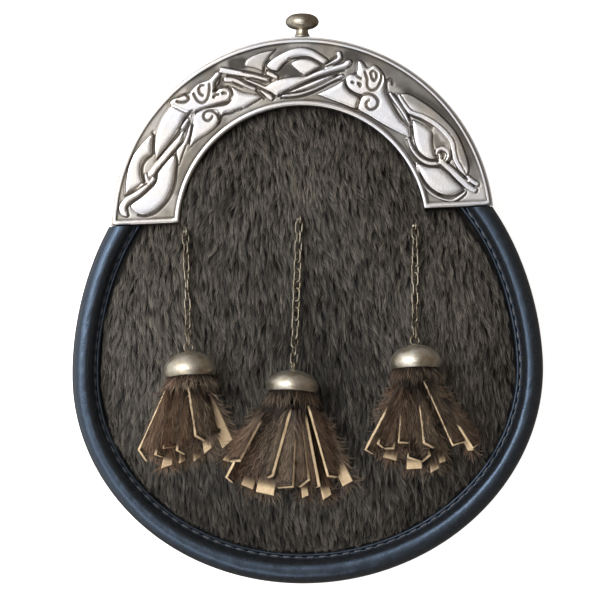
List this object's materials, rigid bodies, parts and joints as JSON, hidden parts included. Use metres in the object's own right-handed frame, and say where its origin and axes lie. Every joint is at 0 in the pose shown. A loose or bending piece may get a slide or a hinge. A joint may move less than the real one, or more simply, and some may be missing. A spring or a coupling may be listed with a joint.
{
  "type": "sporran pouch",
  "caption": "Kilt sporran pouch with an arched relief metal cantle, a fur front in a rolled leather edge, and hide tassels hung on fine chains.",
  "frame": {"origin": "centre of the footprint, on the plane of the back panel's outer face, which the pouch lies on", "axes": "+X to the right seen from the front, +Y from the rounded bottom to the knob on the cantle, +Z from the back panel to the fur front"},
  "size_m": [0.1888, 0.2276, 0.063],
  "materials": {
    "black_leather": "semi-gloss grained black hide",
    "grey_fur": "short grey-brown pile",
    "antique_silver": "cast and antiqued, polished high spots",
    "antique_brass": "polished antique, greyed",
    "tassel_hide": "dark brown fur on hide with cream cut edges"
  },
  "bodies": {
    "root": {"back_panel": "black_leather", "gusset": "black_leather", "edge_roll": "black_leather", "fur_front": "grey_fur", "cantle": "antique_silver", "knob": "antique_brass", "chain_eye_left": "antique_brass", "chain_left_01": "antique_brass", "chain_left_02": "antique_brass", "chain_left_03": "antique_brass", "chain_left_04": "antique_brass", "chain_left_05": "antique_brass", "chain_left_06": "antique_brass", "chain_left_07": "antique_brass", "chain_left_08": "antique_brass", "chain_left_09": "antique_brass", "chain_left_10": "antique_brass", "chain_left_11": "antique_brass", "chain_left_12": "antique_brass", "chain_eye_centre": "antique_brass", "chain_centre_01": "antique_brass", "chain_centre_02": "antique_brass", "chain_centre_03": "antique_brass", "chain_centre_04": "antique_brass", "chain_centre_05": "antique_brass", "chain_centre_06": "antique_brass", "chain_centre_07": "antique_brass", "chain_centre_08": "antique_brass", "chain_centre_09": "antique_brass", "chain_centre_10": "antique_brass", "chain_centre_11": "antique_brass", "chain_centre_12": "antique_brass", "chain_centre_13": "antique_brass", "chain_centre_14": "antique_brass", "chain_centre_15": "antique_brass", "chain_eye_right": "antique_brass", "chain_right_01": "antique_brass", "chain_right_02": "antique_brass", "chain_right_03": "antique_brass", "chain_right_04": "antique_brass", "chain_right_05": "antique_brass", "chain_right_06": "antique_brass", "chain_right_07": "antique_brass", "chain_right_08": "antique_brass", "chain_right_09": "antique_brass", "chain_right_10": "antique_brass", "chain_right_11": "antique_brass", "chain_right_12": "antique_brass", "tassel_cap_left": "antique_brass", "tassel_cap_centre": "antique_brass", "tassel_cap_right": "antique_brass", "tassel_left": "tassel_hide", "tassel_centre": "tassel_hide", "tassel_right": "tassel_hide"}
  },
  "joints": []
}
